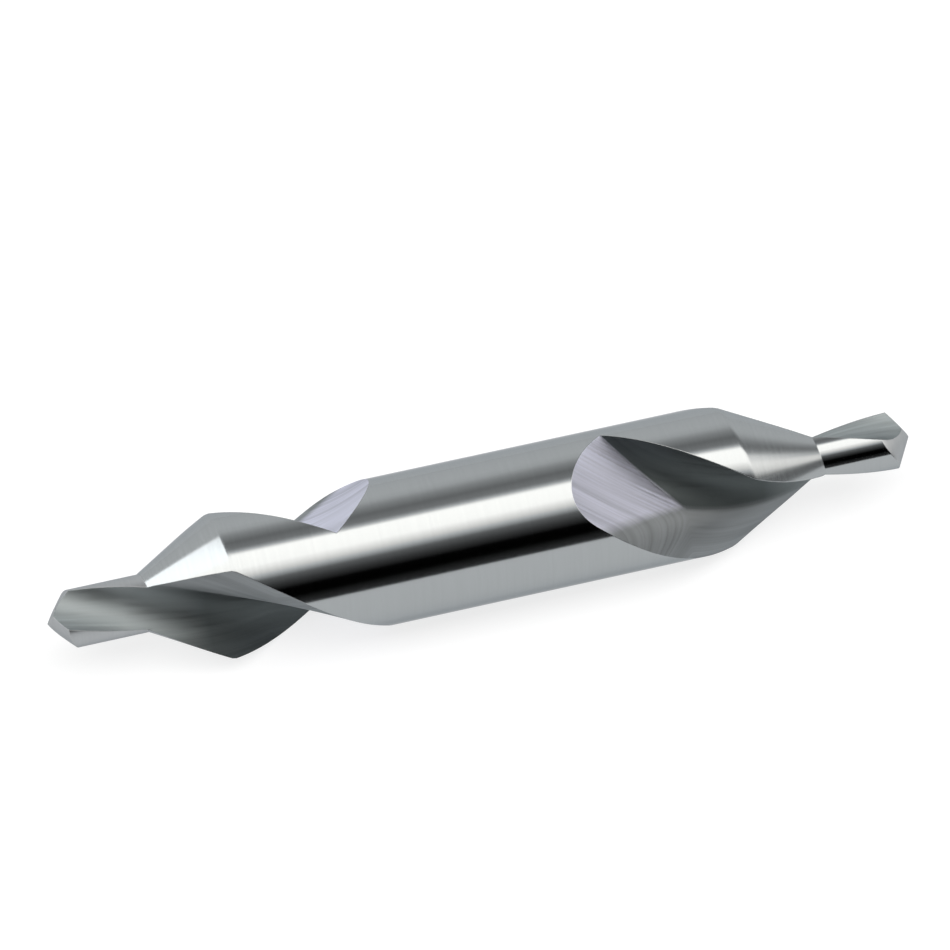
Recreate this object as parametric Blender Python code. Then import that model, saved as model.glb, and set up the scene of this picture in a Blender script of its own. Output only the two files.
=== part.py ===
"""Centre drill with two working ends, ground from one bar of high speed steel.

The axis lies along X and its middle is the origin. Each end has a pilot drill, a
60 degree countersink and two helical flutes. The end at -X is the end at +X
turned a little about the axis and then half a turn about Z.
"""

import math

import bmesh
import bpy
import numpy as np
from mathutils import Matrix, Vector

MM = 0.001

# Driving dimensions of the turned blank
LENGTH = 48.0 * MM
BODY_DIAMETER = 8.0 * MM
PILOT_DIAMETER = 3.15 * MM
PILOT_LENGTH = 5.2 * MM
CONE_ANGLE = math.radians(60.0)
POINT_ANGLE = math.radians(118.0)
END_TWIST = math.radians(3.2)
BLANK_SEGMENTS = 72
POINT_RINGS = 3
WELD_DISTANCE = 0.0001 * MM
SHARP_ANGLE = math.radians(25.0)

# Relief behind the cutting edges of the point and of the countersink
POINT_WEB = 0.9 * MM
LIP_CLEARANCE = math.radians(14.0)
ROOF_SHARE = 0.5
FLANK_CURVE_PLUS = 0.45 / MM
FLANK_CURVE_MINUS = 0.28 / MM
NECK_RELIEF = 0.25 * MM
JUNCTION_RELIEF_PLUS = 0.6 * MM
JUNCTION_RELIEF_MINUS = 0.33 * MM
RELIEF_RESET = math.radians(18.0)
EDGE_SEARCH = math.radians(80.0)
EDGE_SAMPLES = 1601

# The flutes, cut by a grinding wheel with a sharp corner and two conical sides
FLUTE_COUNT = 2
FLUTE_LEAD = 36.6 * MM
WHEEL_RADIUS = 15.46 * MM
WHEEL_TILT = math.radians(51.26)
RAKE_SIDE_ANGLE = math.radians(1.5)
HEEL_SIDE_ANGLE = math.radians(65.0)

# Where the wheel's corner runs, given at a reference section near the countersink
REFERENCE_DEPTH = 10.0 * MM
FLUTE_PHASE = math.radians(146.2)
CORNER_HEIGHT = 0.861 * MM
CORNER_HEIGHT_SLOPE = 0.0794
CORNER_HEIGHT_CURVE = 0.0045 / MM
CORNER_OFFSET = 1.608 * MM
CORNER_OFFSET_SLOPE = -0.037
CORNER_OFFSET_CURVE = -0.0015 / MM

# Depth from each tip at which the wheel stops and lifts out
FLUTE_STOP_PLUS = 13.16 * MM
FLUTE_STOP_MINUS = 11.88 * MM
WHEEL_START = -9.0 * MM

# The grid of a flute cutter
WHEEL_STEPS = 240
CUTTER_ROWS = 40
RAKE_RAYS = 9
HEEL_RAYS = 9
CUTTER_OVERRUN = 0.4 * MM
POLE_RATIO = 1.35
RAY_SPREAD = math.radians(62.0)
RAY_LENGTH_RATIO = 1.15
RAY_HALVINGS = 36
CREASE_LIMIT = 0.8 * RAY_SPREAD
MOUTH_LEAN = math.radians(25.0)
MOUTH_SPREAD = math.radians(100.0)
MOUTH_SAMPLES = 721
END_HALVINGS = 40

STEEL_COLOUR = (0.58, 0.59, 0.62, 1.0)
STEEL_ROUGHNESS = 0.28

BODY_RADIUS = BODY_DIAMETER / 2.0
PILOT_RADIUS = PILOT_DIAMETER / 2.0
POINT_LENGTH = PILOT_RADIUS / math.tan(POINT_ANGLE / 2.0)
CONE_LENGTH = (BODY_RADIUS - PILOT_RADIUS) / math.tan(CONE_ANGLE / 2.0)
HELIX_RATE = 2.0 * math.pi / FLUTE_LEAD


def clear_scene():
    """Remove every object so that the script starts from an empty scene."""
    for item in list(bpy.data.objects):
        bpy.data.objects.remove(item, do_unlink=True)


def ground_steel():
    """Bright ground high speed steel."""
    material = bpy.data.materials.new("ground_steel")
    material.use_nodes = True
    shader = material.node_tree.nodes["Principled BSDF"]
    shader.inputs["Base Color"].default_value = STEEL_COLOUR
    shader.inputs["Metallic"].default_value = 1.0
    shader.inputs["Roughness"].default_value = STEEL_ROUGHNESS
    return material


def add_object(name, bm, material):
    """Turn a bmesh into a named object with smooth round faces and sharp edges."""
    mesh = bpy.data.meshes.new(name)
    bmesh.ops.recalc_face_normals(bm, faces=bm.faces)
    bm.to_mesh(mesh)
    bm.free()
    if material is not None:
        mesh.materials.append(material)
    mesh.shade_smooth()
    mesh.set_sharp_from_angle(angle=SHARP_ANGLE)
    item = bpy.data.objects.new(name, mesh)
    bpy.context.collection.objects.link(item)
    return item


def corner_path(depth):
    """Turn about the axis, height and offset of the wheel's corner at a depth."""
    beyond = depth - REFERENCE_DEPTH
    turn = -HELIX_RATE * beyond
    height = CORNER_HEIGHT + CORNER_HEIGHT_SLOPE * beyond + CORNER_HEIGHT_CURVE * beyond ** 2
    offset = CORNER_OFFSET + CORNER_OFFSET_SLOPE * beyond + CORNER_OFFSET_CURVE * beyond ** 2
    return turn, height, offset


def wheel_reach(depth, across, up, stop):
    """How far inside the wheel, at any of its places, points of one section lie.

    across and up are coordinates in the section at the given depth. The result is
    positive where some place of the wheel removes the steel.
    """
    places = np.linspace(WHEEL_START, stop, WHEEL_STEPS)
    turn, height, offset = corner_path(places)
    towards = across[..., None] * np.cos(turn) + up[..., None] * np.sin(turn)
    sideways = up[..., None] * np.cos(turn) - across[..., None] * np.sin(turn) - offset
    ahead = places - depth
    along_wheel = ahead * math.cos(WHEEL_TILT) + sideways * math.sin(WHEEL_TILT)
    from_face = sideways * math.cos(WHEEL_TILT) - ahead * math.sin(WHEEL_TILT)
    from_axle = np.hypot(along_wheel, towards - height - WHEEL_RADIUS)
    under_rim = WHEEL_RADIUS - from_axle
    rake = under_rim * math.sin(RAKE_SIDE_ANGLE) + from_face * math.cos(RAKE_SIDE_ANGLE)
    heel = under_rim * math.sin(HEEL_SIDE_ANGLE) - from_face * math.cos(HEEL_SIDE_ANGLE)
    return np.minimum(rake, heel).max(axis=-1)


def mouth_middle(depth, stop, radius):
    """Middle angle of the flute's mouth on a circle outside the body, or None.

    Nearer the tip than the reference section the mouth follows the helix.
    """
    measured = max(depth, REFERENCE_DEPTH)
    centre = corner_path(min(measured, stop))[0] + MOUTH_LEAN
    angles = centre + np.linspace(-MOUTH_SPREAD, MOUTH_SPREAD, MOUTH_SAMPLES)
    inside = wheel_reach(measured, radius * np.cos(angles), radius * np.sin(angles), stop) > 0.0
    if not inside.any():
        return None
    return float(angles[inside].mean()) + HELIX_RATE * (measured - depth)


def flute_end(stop, radius):
    """Depth at which the wheel at its last place leaves a circle outside the body."""
    low = stop
    high = stop + WHEEL_RADIUS
    for _ in range(END_HALVINGS):
        middle = (low + high) / 2.0
        if mouth_middle(middle, stop, radius) is None:
            high = middle
        else:
            low = middle
    return low


def crease_point(depth, stop):
    """Where the wheel's corner crosses the section at a depth."""
    place = min(depth, stop)
    turn, height, offset = corner_path(place)
    ahead = place - depth
    along_wheel = ahead / math.cos(WHEEL_TILT)
    lift = WHEEL_RADIUS - math.sqrt(max(WHEEL_RADIUS ** 2 - along_wheel ** 2, 0.0))
    radial = height + lift
    sideways = offset + ahead * math.tan(WHEEL_TILT)
    across = radial * math.cos(turn) - sideways * math.sin(turn)
    up = radial * math.sin(turn) + sideways * math.cos(turn)
    return across, up


def section_rays(depth, stop, pole_radius):
    """The flute's outline in one section, as points reached by rays from a pole."""
    middle = mouth_middle(depth, stop, pole_radius)
    pole = np.array([math.cos(middle), math.sin(middle)]) * pole_radius
    inward = middle + math.pi
    across, up = crease_point(depth, stop)
    crease = math.atan2(up - pole[1], across - pole[0]) - inward
    crease = (crease + math.pi) % (2.0 * math.pi) - math.pi
    crease = max(-CREASE_LIMIT, min(CREASE_LIMIT, crease))
    heel = np.linspace(-RAY_SPREAD, crease, HEEL_RAYS + 1)
    rake = np.linspace(crease, RAY_SPREAD, RAKE_RAYS + 1)
    angles = inward + np.concatenate([heel, rake[1:]])
    near = np.zeros(len(angles))
    far = np.full(len(angles), RAY_LENGTH_RATIO * pole_radius)
    for _ in range(RAY_HALVINGS):
        reach = (near + far) / 2.0
        across = pole[0] + reach * np.cos(angles)
        up = pole[1] + reach * np.sin(angles)
        inside = wheel_reach(depth, across, up, stop) > 0.0
        near = np.where(inside, reach, near)
        far = np.where(inside, far, reach)
    outline = np.stack([pole[0] + near * np.cos(angles), pole[1] + near * np.sin(angles)], axis=1)
    return np.vstack([outline, pole])


def leading_edge(depth, radius):
    """Angle at which the flute's rake face meets a circle in one section."""
    turn = corner_path(depth)[0]
    angles = turn + np.linspace(-EDGE_SEARCH, EDGE_SEARCH, EDGE_SAMPLES)
    reach = wheel_reach(depth, radius * np.cos(angles), radius * np.sin(angles), FLUTE_STOP_PLUS)
    return float(angles[np.argmax(reach > 0.0)]) + FLUTE_PHASE


def point_depth(radius, angle, lip, flank_curve):
    """Depth of the point, partly a cone and partly two flanks that meet in a chisel edge."""
    along_lip = radius * math.cos(angle - lip)
    ahead = radius * math.sin(angle - lip)
    roof = abs(along_lip / math.tan(POINT_ANGLE / 2.0) - ahead * math.tan(LIP_CLEARANCE))
    cone = radius / math.tan(POINT_ANGLE / 2.0)
    return ROOF_SHARE * roof + (1.0 - ROOF_SHARE) * cone + flank_curve * ahead ** 2


def behind_edge(angle, edge):
    """How far behind the nearest cutting edge of the countersink an angle lies."""
    return (edge + RELIEF_RESET - angle) % (2.0 * math.pi / FLUTE_COUNT) - RELIEF_RESET


def blank_rings(twist, junction_relief, flank_curve):
    """Rings of one end's half of the blank, from the point to the middle, as lists of points.

    The rings from the neck on start so that, after the end is turned by twist, both
    halves meet in the same points.
    """
    edge = leading_edge(PILOT_LENGTH + CONE_LENGTH / 2.0, (PILOT_RADIUS + BODY_RADIUS) / 2.0)
    lip = leading_edge(POINT_LENGTH, PILOT_RADIUS) - math.asin(POINT_WEB / PILOT_DIAMETER)
    chisel = lip + math.atan2(1.0 / math.tan(POINT_ANGLE / 2.0), math.tan(LIP_CLEARANCE))
    step = 2.0 * math.pi / BLANK_SEGMENTS
    start_at_neck = -twist % step
    neck_to_middle = (
        (PILOT_RADIUS, lambda angle: PILOT_LENGTH + NECK_RELIEF * behind_edge(angle, edge)),
        (BODY_RADIUS, lambda angle: PILOT_LENGTH + CONE_LENGTH + junction_relief * behind_edge(angle, edge)),
        (BODY_RADIUS, lambda angle: LENGTH / 2.0),
    )
    rings = [[(LENGTH / 2.0, 0.0, 0.0)]]

    def add_ring(radius, start, depth_at):
        ring = []
        for index in range(BLANK_SEGMENTS):
            angle = start + index * step
            ring.append((LENGTH / 2.0 - depth_at(angle), radius * math.cos(angle), radius * math.sin(angle)))
        rings.append(ring)

    for share in range(1, POINT_RINGS + 1):
        radius = PILOT_RADIUS * share / POINT_RINGS
        add_ring(radius, chisel % step, lambda angle: point_depth(radius, angle, lip, flank_curve))
    for radius, depth_at in neck_to_middle:
        add_ring(radius, start_at_neck, depth_at)
    return rings


def end_placement(towards_plus):
    """The turn that brings an end, built towards +X, to its place."""
    if towards_plus:
        return Matrix.Identity(4)
    return Matrix.Rotation(math.pi, 4, "Z") @ Matrix.Rotation(END_TWIST, 4, "X")


def turned_blank(material):
    """The blank with its relieved cones and points, before the flutes are cut."""
    bm = bmesh.new()
    ends = (
        (blank_rings(0.0, JUNCTION_RELIEF_PLUS, FLANK_CURVE_PLUS), end_placement(True)),
        (blank_rings(END_TWIST, JUNCTION_RELIEF_MINUS, FLANK_CURVE_MINUS), end_placement(False)),
    )
    for half, place in ends:
        rings = [[bm.verts.new(place @ Vector(point)) for point in ring] for ring in half]
        for index in range(BLANK_SEGMENTS):
            following = (index + 1) % BLANK_SEGMENTS
            bm.faces.new((rings[0][0], rings[1][index], rings[1][following]))
            for first, second in zip(rings[1:], rings[2:]):
                bm.faces.new((first[index], second[index], second[following], first[following]))
    bmesh.ops.remove_doubles(bm, verts=bm.verts, dist=WELD_DISTANCE)
    return add_object("centre_drill", bm, material)


def flute_cutter(name, stop, towards_plus):
    """The closed shape that the wheel sweeps in each flute of one end."""
    pole_radius = BODY_RADIUS * POLE_RATIO
    last = flute_end(stop, pole_radius) - CUTTER_OVERRUN
    depths = np.linspace(-CUTTER_OVERRUN, last, CUTTER_ROWS)
    sections = [section_rays(depth, stop, pole_radius) for depth in depths]
    bm = bmesh.new()
    for flute in range(FLUTE_COUNT):
        spin = FLUTE_PHASE + 2.0 * math.pi * flute / FLUTE_COUNT
        rows = []
        for depth, section in zip(depths, sections):
            row = []
            for across, up in section:
                y = across * math.cos(spin) - up * math.sin(spin)
                z = across * math.sin(spin) + up * math.cos(spin)
                row.append(bm.verts.new((LENGTH / 2.0 - depth, y, z)))
            rows.append(row)
        count = len(rows[0])
        for first, second in zip(rows, rows[1:]):
            for index in range(count):
                following = (index + 1) % count
                bm.faces.new((first[index], first[following], second[following], second[index]))
        for row in (rows[0], rows[-1]):
            for first, second in zip(row[:-1], row[1:-1]):
                bm.faces.new((first, second, row[-1]))
    bmesh.ops.transform(bm, matrix=end_placement(towards_plus), verts=bm.verts)
    bmesh.ops.triangulate(bm, faces=bm.faces)
    cutter = add_object(name, bm, None)
    cutter.hide_render = True
    cutter.display_type = "WIRE"
    return cutter


def cut(target, cutter):
    """Take a cutter's shape out of the target."""
    modifier = target.modifiers.new(cutter.name, "BOOLEAN")
    modifier.operation = "DIFFERENCE"
    modifier.solver = "EXACT"
    modifier.object = cutter


def main():
    clear_scene()
    drill = turned_blank(ground_steel())
    cut(drill, flute_cutter("flute_cutter_plus", FLUTE_STOP_PLUS, True))
    cut(drill, flute_cutter("flute_cutter_minus", FLUTE_STOP_MINUS, False))


main()
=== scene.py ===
"""Looks of the centre drill: a finely ground mesh, its steel finishes and the studio."""

import math

import bmesh
import bpy
import numpy as np
from mathutils import Matrix, Vector


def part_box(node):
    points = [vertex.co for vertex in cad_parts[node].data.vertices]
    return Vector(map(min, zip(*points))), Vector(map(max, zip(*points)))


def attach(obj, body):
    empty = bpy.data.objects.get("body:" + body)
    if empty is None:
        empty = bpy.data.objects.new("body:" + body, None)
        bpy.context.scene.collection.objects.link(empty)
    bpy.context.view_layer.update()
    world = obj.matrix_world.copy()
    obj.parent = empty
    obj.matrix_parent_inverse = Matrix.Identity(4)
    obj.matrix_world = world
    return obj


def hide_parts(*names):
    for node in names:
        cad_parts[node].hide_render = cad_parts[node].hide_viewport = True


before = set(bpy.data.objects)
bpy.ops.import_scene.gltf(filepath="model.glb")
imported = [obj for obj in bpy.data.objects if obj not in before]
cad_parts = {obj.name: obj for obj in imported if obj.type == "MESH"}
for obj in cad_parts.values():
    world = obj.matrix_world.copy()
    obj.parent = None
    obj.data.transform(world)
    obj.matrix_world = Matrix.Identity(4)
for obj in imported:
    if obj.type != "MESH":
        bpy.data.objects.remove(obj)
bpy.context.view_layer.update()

MM = 0.001

# Driving dimensions of the turned blank, whose length and radius come from the frame
NODE_LOW, NODE_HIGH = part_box("centre_drill")
LENGTH = NODE_HIGH[0] - NODE_LOW[0]
BODY_RADIUS = (NODE_HIGH[2] - NODE_LOW[2]) / 2.0
PILOT_RADIUS = 1.575 * MM
PILOT_LENGTH = 5.2 * MM
CONE_ANGLE = math.radians(60.0)
POINT_ANGLE = math.radians(118.0)
POINT_LENGTH = PILOT_RADIUS / math.tan(POINT_ANGLE / 2.0)
CONE_LENGTH = (BODY_RADIUS - PILOT_RADIUS) / math.tan(CONE_ANGLE / 2.0)
END_TWIST = math.radians(3.2)
BLANK_SEGMENTS = 288
POINT_RINGS = 10
WELD_DISTANCE = 0.0001 * MM

# Relief behind the cutting edges of the point and of the countersink
POINT_WEB = 0.9 * MM
LIP_CLEARANCE = math.radians(14.0)
ROOF_SHARE = 0.5
FLANK_CURVE_PLUS = 0.45 / MM
FLANK_CURVE_MINUS = 0.28 / MM
NECK_RELIEF = 0.25 * MM
JUNCTION_RELIEF_PLUS = 0.6 * MM
JUNCTION_RELIEF_MINUS = 0.33 * MM
STRIP_FALL = 0.06 * MM
STRIP_BEYOND = 0.12 * MM
RELIEF_RESET = math.radians(18.0)
EDGE_SEARCH = math.radians(80.0)
EDGE_SAMPLES = 1601

# The flutes, cut by a grinding wheel with a sharp corner and two conical sides
FLUTE_COUNT = 2
FLUTE_LEAD = 36.6 * MM
HELIX_RATE = 2.0 * math.pi / FLUTE_LEAD
WHEEL_RADIUS = 15.46 * MM
WHEEL_TILT = math.radians(51.26)
RAKE_SIDE_ANGLE = math.radians(1.5)
HEEL_SIDE_ANGLE = math.radians(65.0)
REFERENCE_DEPTH = 10.0 * MM
FLUTE_PHASE = math.radians(146.2)
CORNER_HEIGHT = 0.861 * MM
CORNER_HEIGHT_SLOPE = 0.0794
CORNER_HEIGHT_CURVE = 0.0045 / MM
CORNER_OFFSET = 1.608 * MM
CORNER_OFFSET_SLOPE = -0.037
CORNER_OFFSET_CURVE = -0.0015 / MM
FLUTE_STOP_PLUS = 13.16 * MM
FLUTE_STOP_MINUS = 11.88 * MM
WHEEL_START = -9.0 * MM

# The grid of a flute cutter
WHEEL_STEPS = 160
REFINE_STEPS = 9
NEAR_RANGE = 1.5 * MM
NEAR_STEPS = 21
REFINE_ROUNDS = 4
NEAR_ROUNDS = 7
CUTTER_ROWS = 130
RAKE_RAYS = 26
HEEL_RAYS = 26
CUTTER_OVERRUN = 0.4 * MM
POLE_RATIO = 1.35
RAY_SPREAD = math.radians(62.0)
RAY_LENGTH_RATIO = 1.15
RAY_HALVINGS = 30
CREASE_LIMIT = 0.8 * RAY_SPREAD
MOUTH_LEAN = math.radians(25.0)
MOUTH_SPREAD = math.radians(100.0)
MOUTH_SAMPLES = 721
END_HALVINGS = 40

# The camera, as in the photograph
CAMERA_AZIMUTH = math.radians(-15.12)
CAMERA_ELEVATION = math.radians(53.15)
CAMERA_DISTANCE = 380.0 * MM
CAMERA_LENS = 267.6
TARGET_LEFT = 0.387 * MM
TARGET_UP = 2.932 * MM
SENSOR_WIDTH = 36.0

# How the mesh gets its surface directions and regions
CHUNK = 6000
GRADIENT_STEP = 0.004 * MM
FLUTE_NUDGE = 0.15
BLANK_NUDGE = 0.02
BLEND_ANGLE = math.radians(12.0)
FLANK_TOLERANCE = 0.01 * MM
FLUTE, POINT, CONE, BODY = range(4)

# Colours of the steel, with painted shade and a painted reflection in the flute colours
BODY_COLOUR = (0.33, 0.35, 0.358)
# Painted shade on the flutes' rake and heel, lighter on the pilot; a painted reflection on the
# run-out
RAKE_SHADED_COLOUR = (0.096, 0.11, 0.112)
HEEL_SHADED_COLOUR = (0.24, 0.258, 0.268)
RUN_OUT_SHEEN_COLOUR = (0.53, 0.545, 0.63)
PILOT_FLUTE_LIT_COLOUR = (0.29, 0.322, 0.33)
POINT_COLOUR = (0.36, 0.375, 0.385)
EDGE_TINT = (0.6, 0.62, 0.64, 1.0)

# Where the flutes' painted shade and painted reflection change, and how their grinding marks lie
SIDE_BLEND = 0.15
MARK_SLANT = math.radians(18.6)
RUN_OUT_BLEND = 0.8 * MM
PILOT_SHADE_START = 4.0 * MM
PILOT_SHADE_END = 8.5 * MM

# Grinding marks: a fine and a broad noise, stretched along the marks
FINE_DETAIL = 3.0
FINE_ROUGHNESS = 0.6
FINE_SHARE = 0.6
BROAD_SCALE = 0.22
BROAD_DETAIL = 2.0
NOISE_LOW = 0.3
NOISE_HIGH = 0.7
ROUGHNESS_LOW = 0.8
ROUGHNESS_HIGH = 1.25

# Highlights are turned a quarter from the way round the axis, and edges look rounded
RING_TURN = 0.25
HONE_RADIUS = 0.06 * MM
HONE_SAMPLES = 6

# Finish of each region, in the order of the regions: name, colour, roughness, anisotropy,
# marks per millimetre along each axis, their depth and the contrast of their streaks
FINISHES = (
    ("steel_flute", None, 0.58, 0.0, (7.0, 7.0, 0.12), 0.006 * MM, 0.38),
    ("steel_point", POINT_COLOUR, 0.35, 0.3, (30.0, 1.0, 1.0), 0.001 * MM, 0.06),
    ("steel_cone", BODY_COLOUR, 0.18, 0.5, (30.0, 0.6, 0.6), 0.0004 * MM, 0.05),
    ("steel_body", BODY_COLOUR, 0.13, 0.6, (30.0, 0.6, 0.6), 0.0001 * MM, 0.03),
)

# The studio. The tent's levels are brightness by angle, each list begins with its two
# ends, and a bright level is warm
FLOOR_SIZE = 8.0
FLOOR_SHADE = 0.8
FLOOR_SHADOW_SHADE = 0.35
FLOOR_GLOW = 0.72
TENT_RADIUS = 0.5
TENT_HALF_LENGTH = 2.5
TENT_STEPS = 64
FACING_ANGLE = 35.9
TENT_LOW = -62.0
TENT_HIGH = 95.0
TENT_STRENGTH = 2.4
TENT_GAIN = 1.3
TENT_WARM_LEVEL = 1.0
WARM_TINT = (1.0, 0.955, 0.91)
PLAIN_TINT = (1.0, 1.0, 1.0)
RAMP_ENDS = 2
TENT_LEVELS = (
    (-62.0, 0.2),
    (95.0, 0.76),
    (-57.0, 0.05),
    (-48.0, 0.03),
    (-38.0, 0.0),
    (-24.0, 0.0),
    (-14.0, 0.07),
    (-4.0, 0.2),
    (3.0, 0.8),
    (9.0, 1.4),
    (20.0, 2.2),
    (42.0, 2.3),
    (47.0, 0.8),
    (52.0, 0.35),
    (64.0, 0.25),
    (77.0, 0.45),
    (87.0, 0.7),
)
TENT_FAR_START = 0.35
TENT_FAR_END = 1.1
TENT_FAR_LEVELS = (
    (-62.0, 0.4),
    (95.0, 0.76),
    (-50.0, 0.25),
    (-20.0, 0.22),
    (-10.0, 0.35),
    (0.0, 1.1),
    (6.0, 1.5),
    (28.0, 1.5),
    (36.0, 0.8),
    (52.0, 0.45),
    (64.0, 0.25),
    (77.0, 0.4),
)
SIDE_ANGLE = 65.0
SIDE_SPREAD = -44.0
SIDE_DISTANCE = 0.42
SIDE_LENGTH = 0.2
SIDE_WIDTH = 0.28
SIDE_STRENGTH = 3.1
SOFTBOX_LENGTH = 1.2
SOFTBOX_WIDTH = 0.4
SOFTBOX_HEIGHT = 0.6
SOFTBOX_Y = -0.1
SOFTBOX_POWER = 3.6
WORLD_LEVEL = 0.5


def corner_path(depth):
    """Turn about the axis, height and offset of the wheel's corner at a depth."""
    beyond = depth - REFERENCE_DEPTH
    turn = -HELIX_RATE * beyond
    height = CORNER_HEIGHT + CORNER_HEIGHT_SLOPE * beyond + CORNER_HEIGHT_CURVE * beyond ** 2
    offset = CORNER_OFFSET + CORNER_OFFSET_SLOPE * beyond + CORNER_OFFSET_CURVE * beyond ** 2
    return turn, height, offset


def wheel_sides(depth, across, up, place):
    """Rake and heel measures of points inside the wheel at one place for each."""
    turn, height, offset = corner_path(place)
    towards = across * np.cos(turn) + up * np.sin(turn)
    sideways = up * np.cos(turn) - across * np.sin(turn) - offset
    ahead = place - depth
    along_wheel = ahead * math.cos(WHEEL_TILT) + sideways * math.sin(WHEEL_TILT)
    from_face = sideways * math.cos(WHEEL_TILT) - ahead * math.sin(WHEEL_TILT)
    under_rim = WHEEL_RADIUS - np.hypot(along_wheel, towards - height - WHEEL_RADIUS)
    rake = under_rim * math.sin(RAKE_SIDE_ANGLE) + from_face * math.cos(RAKE_SIDE_ANGLE)
    heel = under_rim * math.sin(HEEL_SIDE_ANGLE) - from_face * math.cos(HEEL_SIDE_ANGLE)
    return rake, heel, under_rim, along_wheel


def wheel_search(depth, across, up, stop, near=None):
    """The wheel's deepest bite at points of the sections, and its place there.

    near is a place close to the deepest one for each point, where it is known.
    """
    depth, across, up = np.broadcast_arrays(depth, across, up)
    shape = across.shape
    depth = depth.reshape(-1, 1)
    across = across.reshape(-1, 1)
    up = up.reshape(-1, 1)
    low = np.full(depth.shape, WHEEL_START)
    steps = WHEEL_STEPS
    rounds = REFINE_ROUNDS
    step = (stop - WHEEL_START) / (steps - 1)
    if near is not None:
        low = np.maximum(near.reshape(-1, 1) - NEAR_RANGE, WHEEL_START)
        steps = NEAR_STEPS
        rounds = NEAR_ROUNDS
        step = 2.0 * NEAR_RANGE / (steps - 1)
    shares = np.arange(steps)
    for _ in range(rounds):
        places = np.minimum(low + step * shares, stop)
        rake, heel, _, _ = wheel_sides(depth, across, up, places)
        bite = np.minimum(rake, heel)
        best = bite.argmax(axis=1)[:, None]
        place = np.take_along_axis(places, best, axis=1)
        low = np.maximum(place - step, WHEEL_START)
        step = 2.0 * step / (REFINE_STEPS - 1)
        shares = np.arange(REFINE_STEPS)
    return np.take_along_axis(bite, best, axis=1).reshape(shape), place.reshape(shape)


def wheel_reach(depth, across, up, stop):
    """How far inside the wheel, at any of its places, points of the sections lie."""
    return wheel_search(depth, across, up, stop)[0]


def mouth_middle(depth, stop, radius):
    """Middle angle of the flute's mouth on a circle outside the body, or None."""
    measured = max(depth, REFERENCE_DEPTH)
    centre = corner_path(min(measured, stop))[0] + MOUTH_LEAN
    angles = centre + np.linspace(-MOUTH_SPREAD, MOUTH_SPREAD, MOUTH_SAMPLES)
    inside = wheel_reach(measured, radius * np.cos(angles), radius * np.sin(angles), stop) > 0.0
    if not inside.any():
        return None
    return float(angles[inside].mean()) + HELIX_RATE * (measured - depth)


def flute_end(stop, radius):
    """Depth at which the wheel at its last place leaves a circle outside the body."""
    low = stop
    high = stop + WHEEL_RADIUS
    for _ in range(END_HALVINGS):
        middle = (low + high) / 2.0
        if mouth_middle(middle, stop, radius) is None:
            high = middle
        else:
            low = middle
    return low


def crease_point(depth, stop):
    """Where the wheel's corner crosses the section at a depth."""
    place = min(depth, stop)
    turn, height, offset = corner_path(place)
    ahead = place - depth
    along_wheel = ahead / math.cos(WHEEL_TILT)
    lift = WHEEL_RADIUS - math.sqrt(max(WHEEL_RADIUS ** 2 - along_wheel ** 2, 0.0))
    radial = height + lift
    sideways = offset + ahead * math.tan(WHEEL_TILT)
    across = radial * math.cos(turn) - sideways * math.sin(turn)
    up = radial * math.sin(turn) + sideways * math.cos(turn)
    return across, up


def section_rays(depth, stop, pole_radius):
    """The flute's outline in one section, as points reached by rays from a pole."""
    middle = mouth_middle(depth, stop, pole_radius)
    pole = np.array([math.cos(middle), math.sin(middle)]) * pole_radius
    inward = middle + math.pi
    across, up = crease_point(depth, stop)
    crease = math.atan2(up - pole[1], across - pole[0]) - inward
    crease = (crease + math.pi) % (2.0 * math.pi) - math.pi
    crease = max(-CREASE_LIMIT, min(CREASE_LIMIT, crease))
    heel = np.linspace(-RAY_SPREAD, crease, HEEL_RAYS + 1)
    rake = np.linspace(crease, RAY_SPREAD, RAKE_RAYS + 1)
    angles = inward + np.concatenate([heel, rake[1:]])
    near = np.zeros(len(angles))
    far = np.full(len(angles), RAY_LENGTH_RATIO * pole_radius)
    for _ in range(RAY_HALVINGS):
        reach = (near + far) / 2.0
        across = pole[0] + reach * np.cos(angles)
        up = pole[1] + reach * np.sin(angles)
        inside = wheel_reach(depth, across, up, stop) > 0.0
        near = np.where(inside, reach, near)
        far = np.where(inside, far, reach)
    outline = np.stack([pole[0] + near * np.cos(angles), pole[1] + near * np.sin(angles)], axis=1)
    return np.vstack([outline, pole])


def leading_edge(depth, radius):
    """Angle at which the flute's rake face meets a circle in one section."""
    turn = corner_path(depth)[0]
    angles = turn + np.linspace(-EDGE_SEARCH, EDGE_SEARCH, EDGE_SAMPLES)
    reach = wheel_reach(depth, radius * np.cos(angles), radius * np.sin(angles), FLUTE_STOP_PLUS)
    return float(angles[np.argmax(reach > 0.0)]) + FLUTE_PHASE


CONE_EDGE = leading_edge(PILOT_LENGTH + CONE_LENGTH / 2.0, (PILOT_RADIUS + BODY_RADIUS) / 2.0)
LIP_ANGLE = leading_edge(POINT_LENGTH, PILOT_RADIUS) - math.asin(POINT_WEB / (2.0 * PILOT_RADIUS))


def point_depth(radius, angle, flank_curve):
    """Depth of the point, partly a cone and partly two flanks that meet in a chisel edge."""
    along_lip = radius * np.cos(angle - LIP_ANGLE)
    ahead = radius * np.sin(angle - LIP_ANGLE)
    roof = abs(along_lip / math.tan(POINT_ANGLE / 2.0) - ahead * math.tan(LIP_CLEARANCE))
    cone = radius / math.tan(POINT_ANGLE / 2.0)
    return ROOF_SHARE * roof + (1.0 - ROOF_SHARE) * cone + flank_curve * ahead ** 2


def cone_ends(angle, junction_relief):
    """Depths at which the relieved countersink begins and ends."""
    behind = (CONE_EDGE + RELIEF_RESET - angle) % (2.0 * math.pi / FLUTE_COUNT) - RELIEF_RESET
    neck = PILOT_LENGTH + NECK_RELIEF * behind
    junction = PILOT_LENGTH + CONE_LENGTH + junction_relief * behind
    return neck, junction


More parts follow.
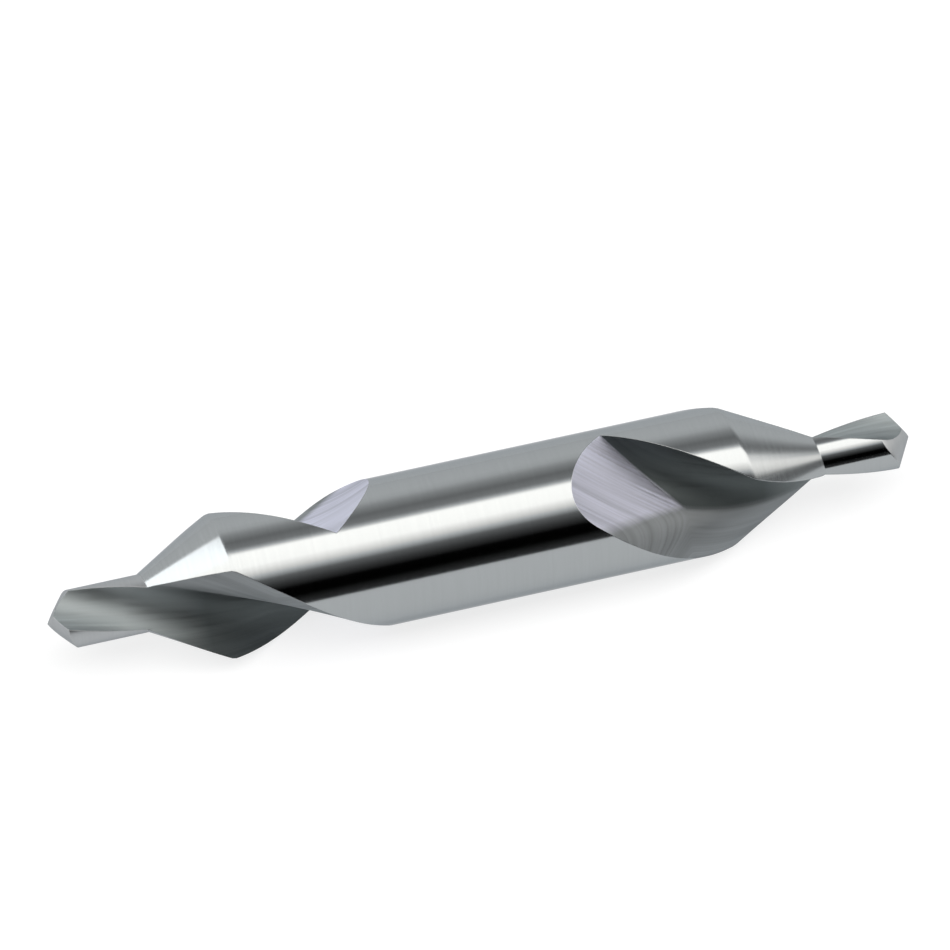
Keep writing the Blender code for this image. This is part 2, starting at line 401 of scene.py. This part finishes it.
def strip_start(angle, junction_relief):
    """Depth at which the narrow ground strip between countersink and body begins."""
    neck, junction = cone_ends(angle, junction_relief)
    return junction - (junction - neck) * STRIP_FALL / (BODY_RADIUS - PILOT_RADIUS)


def blank_rings(twist, junction_relief, flank_curve):
    """Rings of one end's half of the blank, from the point to the middle, as lists of points.

    The rings from the neck on start so that, after the end is turned by twist, both
    halves meet in the same points.
    """
    chisel = LIP_ANGLE + math.atan2(1.0 / math.tan(POINT_ANGLE / 2.0), math.tan(LIP_CLEARANCE))
    step = 2.0 * math.pi / BLANK_SEGMENTS
    start_at_neck = -twist % step
    neck_to_middle = (
        (PILOT_RADIUS, lambda angle: cone_ends(angle, junction_relief)[0]),
        (BODY_RADIUS - STRIP_FALL, lambda angle: strip_start(angle, junction_relief)),
        (BODY_RADIUS, lambda angle: cone_ends(angle, junction_relief)[1] + STRIP_BEYOND),
        (BODY_RADIUS, lambda angle: LENGTH / 2.0),
    )
    rings = [[(LENGTH / 2.0, 0.0, 0.0)]]

    def add_ring(radius, start, depth_at):
        ring = []
        for index in range(BLANK_SEGMENTS):
            angle = start + index * step
            y = radius * math.cos(angle)
            z = radius * math.sin(angle)
            ring.append((LENGTH / 2.0 - depth_at(angle), y, z))
        rings.append(ring)

    for share in range(1, POINT_RINGS + 1):
        radius = PILOT_RADIUS * share / POINT_RINGS
        add_ring(radius, chisel % step, lambda angle: point_depth(radius, angle, flank_curve))
    for radius, depth_at in neck_to_middle:
        add_ring(radius, start_at_neck, depth_at)
    return rings


def end_placement(towards_plus):
    """The turn that brings an end, built towards +X, to its place."""
    if towards_plus:
        return Matrix.Identity(4)
    return Matrix.Rotation(math.pi, 4, "Z") @ Matrix.Rotation(END_TWIST, 4, "X")


def link_mesh(name, bm):
    """Put a bmesh in the scene as an object."""
    bmesh.ops.recalc_face_normals(bm, faces=bm.faces)
    mesh = bpy.data.meshes.new(name)
    bm.to_mesh(mesh)
    bm.free()
    item = bpy.data.objects.new(name, mesh)
    bpy.context.collection.objects.link(item)
    return item


def turned_blank():
    """The blank with its relieved cones and points, before the flutes are cut."""
    bm = bmesh.new()
    ends = (
        (blank_rings(0.0, JUNCTION_RELIEF_PLUS, FLANK_CURVE_PLUS), end_placement(True)),
        (blank_rings(END_TWIST, JUNCTION_RELIEF_MINUS, FLANK_CURVE_MINUS), end_placement(False)),
    )
    for half, place in ends:
        rings = [[bm.verts.new(place @ Vector(point)) for point in ring] for ring in half]
        for index in range(BLANK_SEGMENTS):
            following = (index + 1) % BLANK_SEGMENTS
            bm.faces.new((rings[0][0], rings[1][index], rings[1][following]))
            for first, second in zip(rings[1:], rings[2:]):
                bm.faces.new((first[index], second[index], second[following], first[following]))
    bmesh.ops.remove_doubles(bm, verts=bm.verts, dist=WELD_DISTANCE)
    return link_mesh("drill_steel", bm)


def flute_cutter(name, stop, towards_plus):
    """The closed shape that the wheel sweeps in each flute of one end."""
    pole_radius = BODY_RADIUS * POLE_RATIO
    last = flute_end(stop, pole_radius) - CUTTER_OVERRUN
    depths = np.linspace(-CUTTER_OVERRUN, last, CUTTER_ROWS)
    sections = [section_rays(depth, stop, pole_radius) for depth in depths]
    bm = bmesh.new()
    for flute in range(FLUTE_COUNT):
        spin = FLUTE_PHASE + 2.0 * math.pi * flute / FLUTE_COUNT
        rows = []
        for depth, section in zip(depths, sections):
            row = []
            for across, up in section:
                y = across * math.cos(spin) - up * math.sin(spin)
                z = across * math.sin(spin) + up * math.cos(spin)
                row.append(bm.verts.new((LENGTH / 2.0 - depth, y, z)))
            rows.append(row)
        count = len(rows[0])
        for first, second in zip(rows, rows[1:]):
            for index in range(count):
                following = (index + 1) % count
                bm.faces.new((first[index], first[following], second[following], second[index]))
        for row in (rows[0], rows[-1]):
            for first, second in zip(row[:-1], row[1:-1]):
                bm.faces.new((first, second, row[-1]))
    bmesh.ops.transform(bm, matrix=end_placement(towards_plus), verts=bm.verts)
    bmesh.ops.triangulate(bm, faces=bm.faces)
    return link_mesh(name, bm)


def ground_drill():
    """The blank with its flutes ground into both ends, as one clean mesh."""
    drill = turned_blank()
    cutters = [
        flute_cutter("flute_cutter_plus", FLUTE_STOP_PLUS, True),
        flute_cutter("flute_cutter_minus", FLUTE_STOP_MINUS, False),
    ]
    for cutter in cutters:
        modifier = drill.modifiers.new(cutter.name, "BOOLEAN")
        modifier.operation = "DIFFERENCE"
        modifier.solver = "EXACT"
        modifier.object = cutter
    evaluated = drill.evaluated_get(bpy.context.evaluated_depsgraph_get())
    mesh = bpy.data.meshes.new_from_object(evaluated)
    drill.modifiers.clear()
    drill.data = mesh
    for cutter in cutters:
        bpy.data.objects.remove(cutter, do_unlink=True)
    return drill


def end_frame(points):
    """Depth, across and up of points seen from the tip at their own end, and that end."""
    plus = points[:, 0] >= 0.0
    side = np.where(plus, 1.0, -1.0)
    twist = np.where(plus, 0.0, END_TWIST)
    y = side * points[:, 1]
    z = points[:, 2]
    across = y * np.cos(twist) + z * np.sin(twist)
    up = z * np.cos(twist) - y * np.sin(twist)
    return LENGTH / 2.0 - side * points[:, 0], across, up, plus


def end_relief(plus):
    """Relief at the junction and curve of the flanks, for points of either end."""
    junction_relief = np.where(plus, JUNCTION_RELIEF_PLUS, JUNCTION_RELIEF_MINUS)
    flank_curve = np.where(plus, FLANK_CURVE_PLUS, FLANK_CURVE_MINUS)
    return junction_relief, flank_curve


def blank_measure(points):
    """How far outside the blank, roughly, points lie."""
    depth, across, up, plus = end_frame(points)
    radius = np.hypot(across, up)
    angle = np.arctan2(up, across)
    junction_relief, flank_curve = end_relief(plus)
    neck, junction = cone_ends(angle, junction_relief)
    cone = PILOT_RADIUS + (depth - neck) * (BODY_RADIUS - PILOT_RADIUS) / (junction - neck)
    strip_end = junction + STRIP_BEYOND
    strip_length = strip_end - strip_start(angle, junction_relief)
    strip = BODY_RADIUS - STRIP_FALL * (strip_end - depth) / strip_length
    outline = np.where(depth > neck, np.minimum(np.minimum(cone, strip), BODY_RADIUS), PILOT_RADIUS)
    flank = (point_depth(radius, angle, flank_curve) - depth) * math.sin(POINT_ANGLE / 2.0)
    return np.maximum(radius - outline, flank)


def section_place(points, flute):
    """Depth, across and up of points in the section frame of their own flute."""
    depth, across, up, plus = end_frame(points)
    spin = FLUTE_PHASE + 2.0 * math.pi * flute / FLUTE_COUNT
    y = across * np.cos(spin) + up * np.sin(spin)
    z = up * np.cos(spin) - across * np.sin(spin)
    stop = np.where(plus, FLUTE_STOP_PLUS, FLUTE_STOP_MINUS)
    return depth, y, z, stop


def flute_bite(points, flute, near=None):
    """The wheel's deepest bite at points of one flute each, and its place there."""
    depth, across, up, stop = section_place(points, flute)
    bite = np.empty(len(points))
    place = np.empty(len(points))
    for limit in (FLUTE_STOP_PLUS, FLUTE_STOP_MINUS):
        chosen = np.nonzero(stop == limit)[0]
        for part in np.array_split(chosen, len(chosen) // CHUNK + 1):
            start = None if near is None else near[part]
            bite[part], place[part] = wheel_search(depth[part], across[part], up[part], limit, start)
    return bite, place


def gradient(measure, points):
    """Unit direction in which a measure grows fastest at each point."""
    result = np.zeros_like(points)
    for axis in range(3):
        step = np.zeros(3)
        step[axis] = GRADIENT_STEP
        result[:, axis] = measure(points + step) - measure(points - step)
    return result / np.linalg.norm(result, axis=1)[:, None]


def finish_surface(drill):
    """Give the mesh its exact normals, its regions and the place of each corner in its flute.

    The land of the pilot at -X has the softer finish of the point.
    """
    mesh = drill.data
    corner_count = len(mesh.loops)
    corner_vertex = np.empty(corner_count, dtype=np.int32)
    mesh.loops.foreach_get("vertex_index", corner_vertex)
    places = np.empty(len(mesh.vertices) * 3)
    mesh.vertices.foreach_get("co", places)
    places = places.reshape(-1, 3)
    starts = np.empty(len(mesh.polygons), dtype=np.int32)
    totals = np.empty(len(mesh.polygons), dtype=np.int32)
    mesh.polygons.foreach_get("loop_start", starts)
    mesh.polygons.foreach_get("loop_total", totals)
    corner_face = np.repeat(np.arange(len(totals)), totals)
    corners = places[corner_vertex]
    centres = np.add.reduceat(corners, starts) / totals[:, None]

    outside = np.abs(blank_measure(centres))
    found = [flute_bite(centres, flute) for flute in range(FLUTE_COUNT)]
    face_flute = np.argmax([bite for bite, _ in found], axis=0)
    face_bite = np.choose(face_flute, [bite for bite, _ in found])
    face_place = np.choose(face_flute, [place for _, place in found])
    fluted = np.abs(face_bite) < outside
    nudge = np.where(fluted[corner_face], FLUTE_NUDGE, BLANK_NUDGE)[:, None]
    probes = corners + nudge * (centres[corner_face] - corners)
    normals = np.zeros_like(probes)
    in_flute = fluted[corner_face]
    normals[~in_flute] = gradient(blank_measure, probes[~in_flute])
    flute = face_flute[corner_face[in_flute]]
    near = face_place[corner_face[in_flute]]
    normals[in_flute] = gradient(lambda points: flute_bite(points, flute, near)[0], probes[in_flute])

    order = np.argsort(corner_vertex, kind="stable")
    borders = np.nonzero(np.diff(corner_vertex[order]))[0] + 1
    blended = normals.copy()
    for group in np.split(order, borders):
        own = normals[group]
        alike = own @ own.T > math.cos(BLEND_ANGLE)
        mixed = alike.astype(float) @ own
        blended[group] = mixed / np.linalg.norm(mixed, axis=1)[:, None]
    mesh.shade_smooth()
    mesh.normals_split_custom_set([tuple(normal) for normal in blended])

    depth, across, up, plus = end_frame(centres)
    radius = np.hypot(across, up)
    angle = np.arctan2(up, across)
    junction_relief, flank_curve = end_relief(plus)
    neck, junction = cone_ends(angle, junction_relief)
    on_point = depth < point_depth(radius, angle, flank_curve) + FLANK_TOLERANCE
    on_point |= ~plus & (depth < neck)
    on_cone = (depth > neck) & (depth < junction + STRIP_BEYOND)
    region = np.select([fluted, on_point, on_cone], [FLUTE, POINT, CONE], BODY)
    mesh.polygons.foreach_set("material_index", region.astype(np.int32))

    depth, across, up, stop = section_place(probes, face_flute[corner_face])
    place = np.minimum(depth, stop)
    rake, heel, under_rim, along_wheel = wheel_sides(depth, across, up, place)
    on_heel = rake > heel
    from_rim = np.where(on_heel, under_rim / math.cos(HEEL_SIDE_ANGLE), under_rim)
    slant = np.where(on_heel, MARK_SLANT, 0.0)
    along_mark = along_wheel * np.cos(slant) - from_rim * np.sin(slant)
    across_mark = from_rim * np.cos(slant) + along_wheel * np.sin(slant)
    marks = np.stack([across_mark, on_heel * MM, place - along_mark], axis=1) / MM
    layer = mesh.attributes.new("marks", "FLOAT_VECTOR", "CORNER")
    layer.data.foreach_set("vector", marks.ravel())

    # Side of the flute and nearness to the run-out, which place the painted shade and painted
    # reflection
    run_out = np.zeros(corner_count)
    run_out[in_flute] = flute_bite(probes[in_flute], flute, near)[1]
    run_out = np.clip((run_out - stop + RUN_OUT_BLEND) / RUN_OUT_BLEND, 0.0, 1.0)
    sides = np.stack([(rake - heel) / MM, run_out, np.zeros(corner_count)], axis=1)
    layer = mesh.attributes.new("sides", "FLOAT_VECTOR", "CORNER")
    layer.data.foreach_set("vector", sides.ravel())


def node_adder(tree):
    """A function that adds a node to a tree and sets its properties and in_ sockets."""

    def add(kind, **settings):
        node = tree.nodes.new(kind)
        for key, value in settings.items():
            if key.startswith("in_"):
                socket = key[3:]
                node.inputs[int(socket) if socket.isdigit() else socket].default_value = value
            else:
                setattr(node, key, value)
        return node

    return add


def new_material(name):
    """A node material with its shader, its tree and a function that adds nodes."""
    material = bpy.data.materials.new(name)
    material.use_nodes = True
    tree = material.node_tree
    return material, tree.nodes["Principled BSDF"], tree, node_adder(tree)


def mixed_colour(add, link, factor, first, second):
    """Mix of two colours, each a tuple or the output of a node."""
    mix = add("ShaderNodeMix", data_type="RGBA")
    link(factor, mix.inputs["Factor"])
    sockets = [item for item in mix.inputs if item.type == "RGBA"]
    for value, socket in zip((first, second), sockets):
        if isinstance(value, tuple):
            socket.default_value = (*value, 1.0)
        else:
            link(value, socket)
    return next(item for item in mix.outputs if item.type == "RGBA")


def flute_painted_shade_and_sheen(add, link):
    """Colour of a flute with painted light: painted shade makes the rake side dark, lighter on the
    pilot, and a painted reflection lightens the run-out.
    """
    sides = add("ShaderNodeAttribute", attribute_name="sides")
    split = add("ShaderNodeSeparateXYZ")
    link(sides.outputs["Vector"], split.inputs[0])
    side = add("ShaderNodeMapRange")
    side.inputs["From Min"].default_value = -SIDE_BLEND
    side.inputs["From Max"].default_value = SIDE_BLEND
    link(split.outputs["X"], side.inputs["Value"])
    place = add("ShaderNodeTexCoord")
    along = add("ShaderNodeSeparateXYZ")
    link(place.outputs["Object"], along.inputs[0])
    from_middle = add("ShaderNodeMath", operation="ABSOLUTE")
    link(along.outputs["X"], from_middle.inputs[0])
    pilot = add("ShaderNodeMapRange")
    pilot.inputs["From Min"].default_value = LENGTH / 2.0 - PILOT_SHADE_END
    pilot.inputs["From Max"].default_value = LENGTH / 2.0 - PILOT_SHADE_START
    link(from_middle.outputs[0], pilot.inputs["Value"])
    rake = mixed_colour(add, link, pilot.outputs["Result"], RAKE_SHADED_COLOUR, PILOT_FLUTE_LIT_COLOUR)
    heel = mixed_colour(add, link, split.outputs["Y"], HEEL_SHADED_COLOUR, RUN_OUT_SHEEN_COLOUR)
    return mixed_colour(add, link, side.outputs["Result"], rake, heel)


def steel(name, colour, roughness, anisotropy, marks_scale, marks_depth, contrast):
    """Ground steel whose fine marks run round the axis, or in the flutes along the wheel's path.

    The flutes' colour is painted shade and a painted reflection rather than a single colour, so
    theirs is None.
    """
    material, shader, tree, add = new_material(name)
    link = tree.links.new
    shader.inputs["Metallic"].default_value = 1.0
    shader.inputs["Anisotropic"].default_value = anisotropy
    shader.inputs["Specular Tint"].default_value = EDGE_TINT
    if colour is None:
        source = add("ShaderNodeAttribute", attribute_name="marks")
        position = source.outputs["Vector"]
    else:
        source = add("ShaderNodeTexCoord")
        scaled = add("ShaderNodeVectorMath", operation="SCALE")
        scaled.inputs["Scale"].default_value = 1.0 / MM
        link(source.outputs["Object"], scaled.inputs[0])
        position = scaled.outputs["Vector"]
        tangent = add("ShaderNodeTangent", direction_type="RADIAL", axis="X")
        link(tangent.outputs["Tangent"], shader.inputs["Tangent"])
        shader.inputs["Anisotropic Rotation"].default_value = RING_TURN
    stretch = add("ShaderNodeMapping")
    stretch.inputs["Scale"].default_value = marks_scale
    link(position, stretch.inputs["Vector"])
    fine = add("ShaderNodeTexNoise", in_Scale=1.0, in_Detail=FINE_DETAIL, in_Roughness=FINE_ROUGHNESS)
    link(stretch.outputs["Vector"], fine.inputs["Vector"])
    broad = add("ShaderNodeTexNoise", in_Scale=BROAD_SCALE, in_Detail=BROAD_DETAIL)
    link(stretch.outputs["Vector"], broad.inputs["Vector"])

    blend = add("ShaderNodeMath", operation="MULTIPLY_ADD", in_1=FINE_SHARE)
    link(fine.outputs["Fac"], blend.inputs[0])
    share = add("ShaderNodeMath", operation="MULTIPLY", in_1=1.0 - FINE_SHARE)
    link(broad.outputs["Fac"], share.inputs[0])
    link(share.outputs[0], blend.inputs[2])
    streak = add("ShaderNodeMapRange")
    streak.inputs["From Min"].default_value = NOISE_LOW
    streak.inputs["From Max"].default_value = NOISE_HIGH
    streak.inputs["To Min"].default_value = 1.0 - contrast
    streak.inputs["To Max"].default_value = 1.0 + contrast
    link(blend.outputs[0], streak.inputs["Value"])
    shade = add("ShaderNodeVectorMath", operation="SCALE")
    if colour is None:
        link(flute_painted_shade_and_sheen(add, link), shade.inputs[0])
    else:
        shade.inputs[0].default_value = colour
    link(streak.outputs["Result"], shade.inputs["Scale"])
    link(shade.outputs["Vector"], shader.inputs["Base Color"])

    rough = add("ShaderNodeMapRange")
    rough.inputs["From Min"].default_value = NOISE_LOW
    rough.inputs["From Max"].default_value = NOISE_HIGH
    rough.inputs["To Min"].default_value = roughness * ROUGHNESS_LOW
    rough.inputs["To Max"].default_value = roughness * ROUGHNESS_HIGH
    link(fine.outputs["Fac"], rough.inputs["Value"])
    link(rough.outputs["Result"], shader.inputs["Roughness"])

    bump = add("ShaderNodeBump")
    bump.inputs["Strength"].default_value = 1.0
    bump.inputs["Distance"].default_value = marks_depth
    link(fine.outputs["Fac"], bump.inputs["Height"])
    hone = add("ShaderNodeBevel", samples=HONE_SAMPLES, in_Radius=HONE_RADIUS)
    link(hone.outputs["Normal"], bump.inputs["Normal"])
    link(bump.outputs["Normal"], shader.inputs["Normal"])
    return material


def camera_ray_factor(add, link):
    """1 where the camera, a reflection or a clear surface looks straight at the material."""
    path = add("ShaderNodeLightPath")
    first = add("ShaderNodeMath", operation="MAXIMUM")
    second = add("ShaderNodeMath", operation="MAXIMUM")
    link(path.outputs["Is Camera Ray"], first.inputs[0])
    link(path.outputs["Is Transmission Ray"], first.inputs[1])
    link(first.outputs[0], second.inputs[0])
    link(path.outputs["Is Glossy Ray"], second.inputs[1])
    return second.outputs[0]


def make_floor():
    """A pale floor that the camera sees as white and that keeps the drill's shadow."""
    bpy.ops.mesh.primitive_plane_add(size=FLOOR_SIZE, location=(0.0, 0.0, -BODY_RADIUS))
    floor = bpy.context.object
    floor.name = "floor"
    material, shader, tree, add = new_material("pale_paper")
    link = tree.links.new
    shader.inputs["Base Color"].default_value = (FLOOR_SHADE, FLOOR_SHADE, FLOOR_SHADE, 1.0)
    shader.inputs["Roughness"].default_value = 1.0
    shader.inputs["Specular IOR Level"].default_value = 0.0
    glow = add("ShaderNodeEmission", in_Strength=FLOOR_GLOW)
    plain = add("ShaderNodeBsdfDiffuse", in_Color=(FLOOR_SHADOW_SHADE,) * 3 + (1.0,))
    lit = add("ShaderNodeAddShader")
    link(glow.outputs[0], lit.inputs[0])
    link(plain.outputs[0], lit.inputs[1])
    seen = camera_ray_factor(add, link)
    mix = add("ShaderNodeMixShader")
    link(seen, mix.inputs[0])
    link(shader.outputs[0], mix.inputs[1])
    link(lit.outputs[0], mix.inputs[2])
    link(mix.outputs[0], tree.nodes["Material Output"].inputs["Surface"])
    floor.data.materials.append(material)


def level_ramp(add, levels):
    """A colour ramp of brightness by angle, on the tent's scale."""
    ramp = add("ShaderNodeValToRGB")
    elements = ramp.color_ramp.elements
    for index, (degrees, level) in enumerate(levels):
        place = (degrees - TENT_LOW) / (TENT_HIGH - TENT_LOW)
        element = elements[index] if index < RAMP_ENDS else elements.new(place)
        element.position = place
        shade = level / TENT_STRENGTH
        tint = WARM_TINT if level > TENT_WARM_LEVEL else PLAIN_TINT
        element.color = (*[shade * part for part in tint], 1.0)
    return ramp


def only_in_reflections(item):
    """Keep a studio surface out of the picture, so that only polished steel shows it."""
    item.visible_camera = False
    item.visible_diffuse = False
    item.visible_shadow = False
    item.visible_transmission = False


def make_tent():
    """The studio's reflections: a tent of paper, softbox and dark card over the drill."""
    bm = bmesh.new()
    rows = []
    for index in range(TENT_STEPS + 1):
        angle = math.radians(TENT_LOW + (TENT_HIGH - TENT_LOW) * index / TENT_STEPS)
        y = TENT_RADIUS * math.sin(angle)
        z = TENT_RADIUS * math.cos(angle)
        rows.append([bm.verts.new((x, y, z)) for x in (-TENT_HALF_LENGTH, TENT_HALF_LENGTH)])
    for first, second in zip(rows, rows[1:]):
        bm.faces.new((first[0], first[1], second[1], second[0]))
    tent = link_mesh("studio_tent", bm)
    tent.rotation_euler.x = math.radians(FACING_ANGLE)
    material, shader, tree, add = new_material("tent_light")
    link = tree.links.new
    tree.nodes.remove(shader)
    source = add("ShaderNodeTexCoord")
    split = add("ShaderNodeSeparateXYZ")
    link(source.outputs["Object"], split.inputs[0])
    angle = add("ShaderNodeMath", operation="ARCTAN2")
    link(split.outputs["Y"], angle.inputs[0])
    link(split.outputs["Z"], angle.inputs[1])
    share = add("ShaderNodeMapRange")
    share.inputs["From Min"].default_value = math.radians(TENT_LOW)
    share.inputs["From Max"].default_value = math.radians(TENT_HIGH)
    link(angle.outputs[0], share.inputs["Value"])
    far = add("ShaderNodeMapRange")
    far.inputs["From Min"].default_value = TENT_FAR_START
    far.inputs["From Max"].default_value = TENT_FAR_END
    link(split.outputs["X"], far.inputs["Value"])
    ramps = [level_ramp(add, levels) for levels in (TENT_LEVELS, TENT_FAR_LEVELS)]
    for ramp in ramps:
        link(share.outputs["Result"], ramp.inputs["Fac"])
    shades = [ramp.outputs["Color"] for ramp in ramps]
    glow = add("ShaderNodeEmission", in_Strength=TENT_STRENGTH * TENT_GAIN)
    link(mixed_colour(add, link, far.outputs["Result"], *shades), glow.inputs["Color"])
    link(glow.outputs[0], tree.nodes["Material Output"].inputs["Surface"])
    tent.data.materials.append(material)
    only_in_reflections(tent)


def make_side_softbox():
    """A second softbox behind the left end."""
    angle = math.radians(SIDE_ANGLE - FACING_ANGLE)
    spread = math.radians(SIDE_SPREAD)
    y = math.sin(angle) * math.cos(spread)
    z = math.cos(angle) * math.cos(spread)
    towards = Vector((math.sin(spread), y, z))
    bpy.ops.mesh.primitive_plane_add(size=1.0, location=SIDE_DISTANCE * towards)
    box = bpy.context.object
    box.name = "side_softbox"
    along = Vector((1.0, 0.0, 0.0)) - towards.x * towards
    along.normalize()
    box.rotation_euler = Matrix((along, towards.cross(along), towards)).transposed().to_euler()
    box.scale = (SIDE_LENGTH, SIDE_WIDTH, 1.0)
    material, shader, tree, add = new_material("side_light")
    tree.nodes.remove(shader)
    glow = add("ShaderNodeEmission", in_Strength=SIDE_STRENGTH)
    tree.links.new(glow.outputs[0], tree.nodes["Material Output"].inputs["Surface"])
    box.data.materials.append(material)
    only_in_reflections(box)


def make_lights():
    """One large soft lamp overhead and an even world."""
    lamp = bpy.data.lights.new("softbox", "AREA")
    lamp.shape = "RECTANGLE"
    lamp.size = SOFTBOX_LENGTH
    lamp.size_y = SOFTBOX_WIDTH
    lamp.energy = SOFTBOX_POWER
    holder = bpy.data.objects.new("softbox", lamp)
    holder.location = (0.0, SOFTBOX_Y, SOFTBOX_HEIGHT)
    holder.visible_glossy = False
    bpy.context.collection.objects.link(holder)

    world = bpy.data.worlds.new("studio")
    bpy.context.scene.world = world
    world.use_nodes = True
    tree = world.node_tree
    add = node_adder(tree)
    link = tree.links.new
    background = tree.nodes["Background"]
    level = add("ShaderNodeMath", operation="MAXIMUM")
    level.inputs[1].default_value = WORLD_LEVEL
    link(camera_ray_factor(add, link), level.inputs[0])
    background.inputs["Color"].default_value = (1.0, 1.0, 1.0, 1.0)
    link(level.outputs[0], background.inputs["Strength"])


def make_camera():
    """The photograph's camera."""
    turn = CAMERA_AZIMUTH
    lift = CAMERA_ELEVATION
    back = Vector((math.sin(turn) * math.cos(lift), -math.cos(turn) * math.cos(lift), math.sin(lift)))
    right = Vector((math.cos(turn), math.sin(turn), 0.0))
    up = back.cross(right)
    camera = bpy.data.cameras.new("camera")
    camera.sensor_width = SENSOR_WIDTH
    camera.lens = CAMERA_LENS
    holder = bpy.data.objects.new("camera", camera)
    target = TARGET_UP * up - TARGET_LEFT * right
    holder.location = target + CAMERA_DISTANCE * back
    holder.rotation_euler = (-back).to_track_quat("-Z", "Y").to_euler()
    bpy.context.collection.objects.link(holder)
    bpy.context.scene.camera = holder


drill = ground_drill()
finish_surface(drill)
for finish in FINISHES:
    drill.data.materials.append(steel(*finish))
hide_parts("centre_drill")
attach(drill, "root")
make_floor()
make_tent()
make_side_softbox()
make_lights()
make_camera()
bpy.context.scene.view_settings.view_transform = "Standard"
